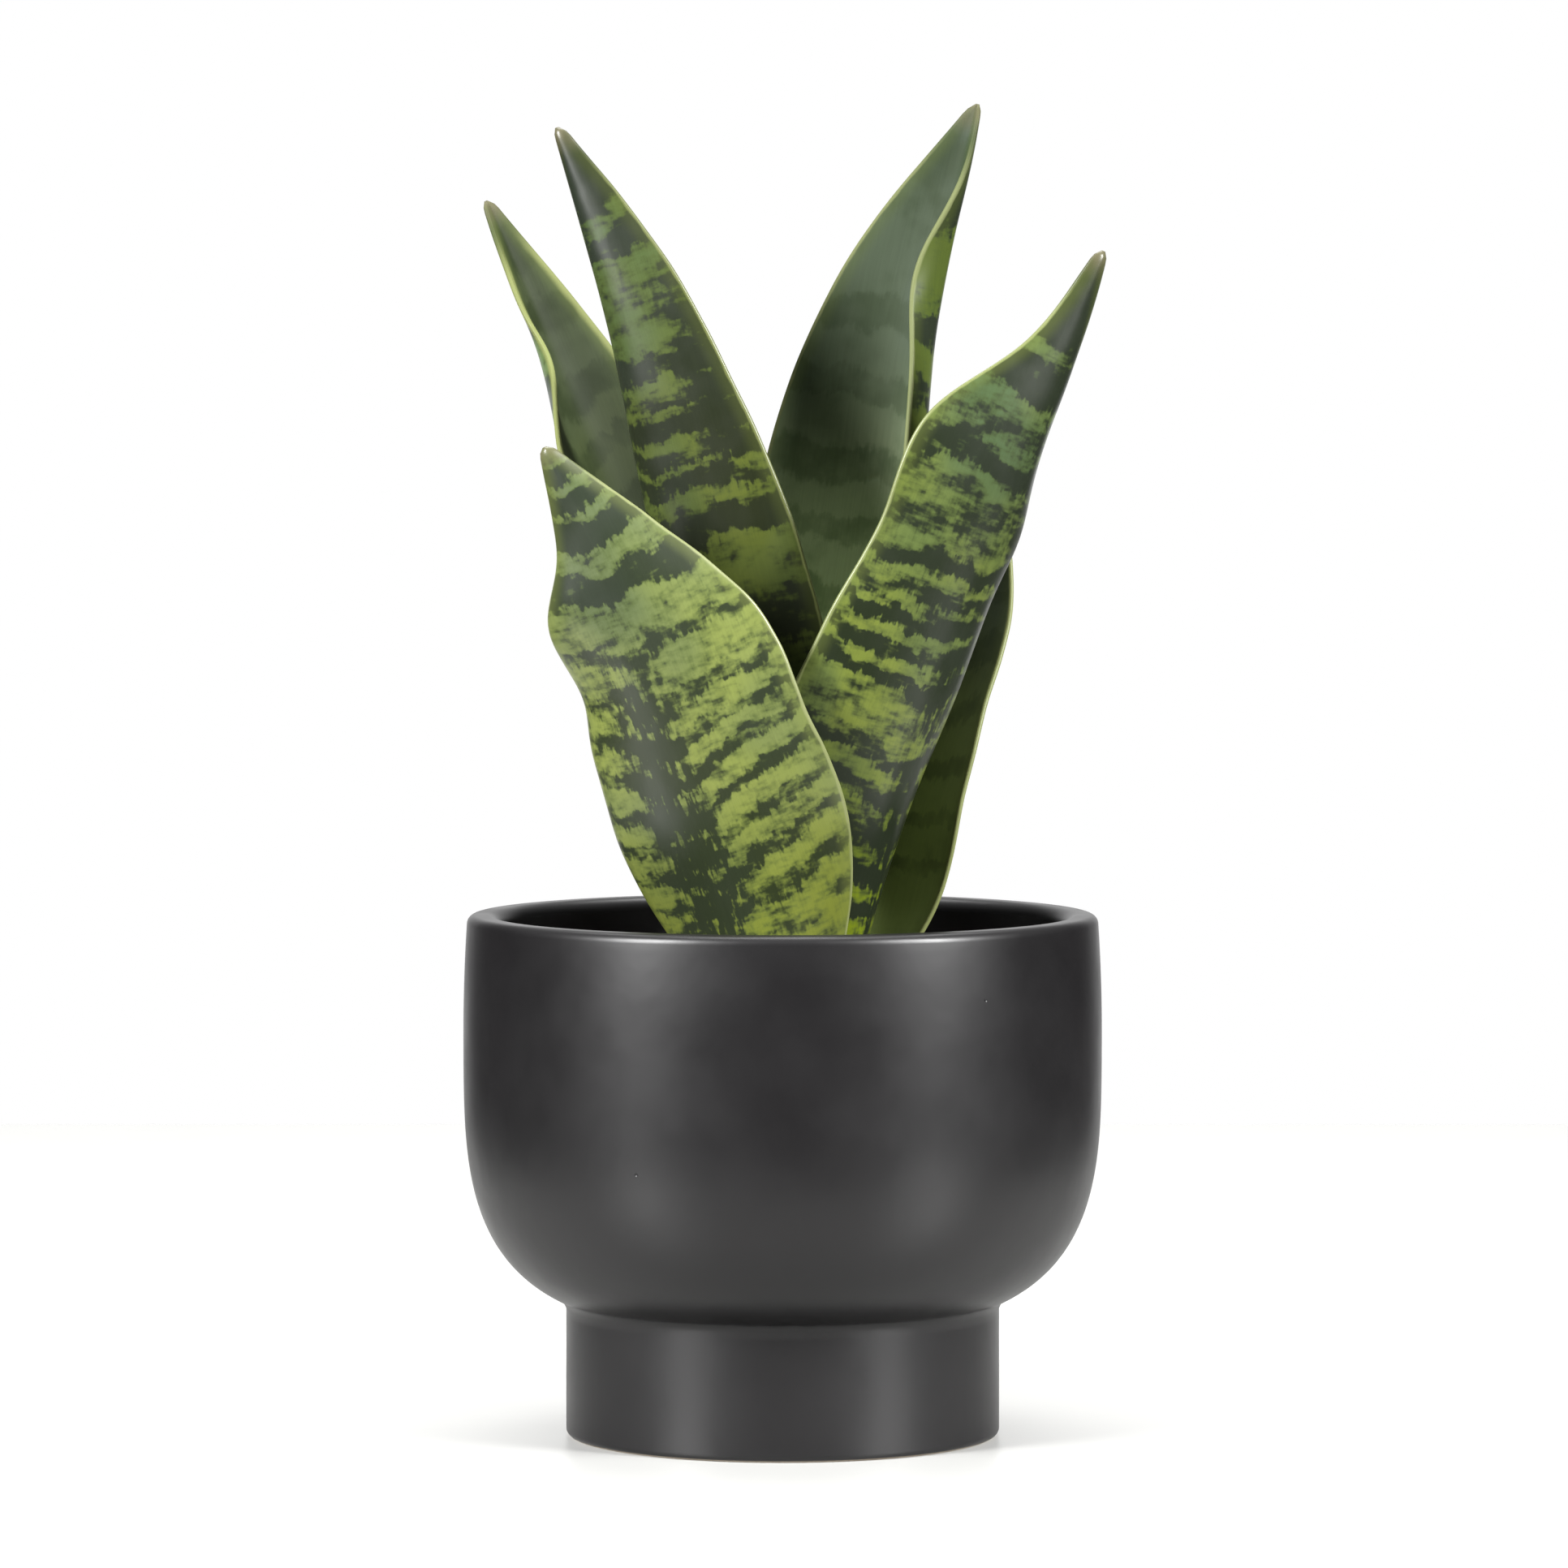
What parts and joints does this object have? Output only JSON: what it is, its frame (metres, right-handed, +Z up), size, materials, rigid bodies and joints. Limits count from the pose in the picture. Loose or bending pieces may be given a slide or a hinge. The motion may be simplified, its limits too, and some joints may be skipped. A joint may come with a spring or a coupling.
{
  "type": "potted snake plant",
  "caption": "Young snake plant: stiff folded leaves in an upright rosette, rooted in potting mix in a round bowl planter on a straight cylindrical foot.",
  "frame": {"origin": "centre of the underside of the pot's foot, on the surface it stands on", "axes": "+Z up along the pot's axis; -Y is the front, where the short leaf of the front pair shows its outer face; +X is to the right seen from the front"},
  "size_m": [0.14, 0.14, 0.2923],
  "materials": {
    "black_glaze": "satin black glaze, slightly pitted",
    "potting_mix": "coarse bark and peat crumbs with a little perlite",
    "rhizome": "dull tan skin with leaf scars",
    "leaf": "waxy satin skin, mid green with ragged dark cross bands and a pale margin line"
  },
  "bodies": {
    "root": {"footed_pot": "black_glaze", "potting_mix": "potting_mix", "rhizome": "rhizome", "leaf_front_left": "leaf", "leaf_tall_left": "leaf", "leaf_back_left": "leaf", "leaf_tall_right": "leaf", "leaf_front_right": "leaf", "leaf_back_right": "leaf"}
  },
  "joints": []
}
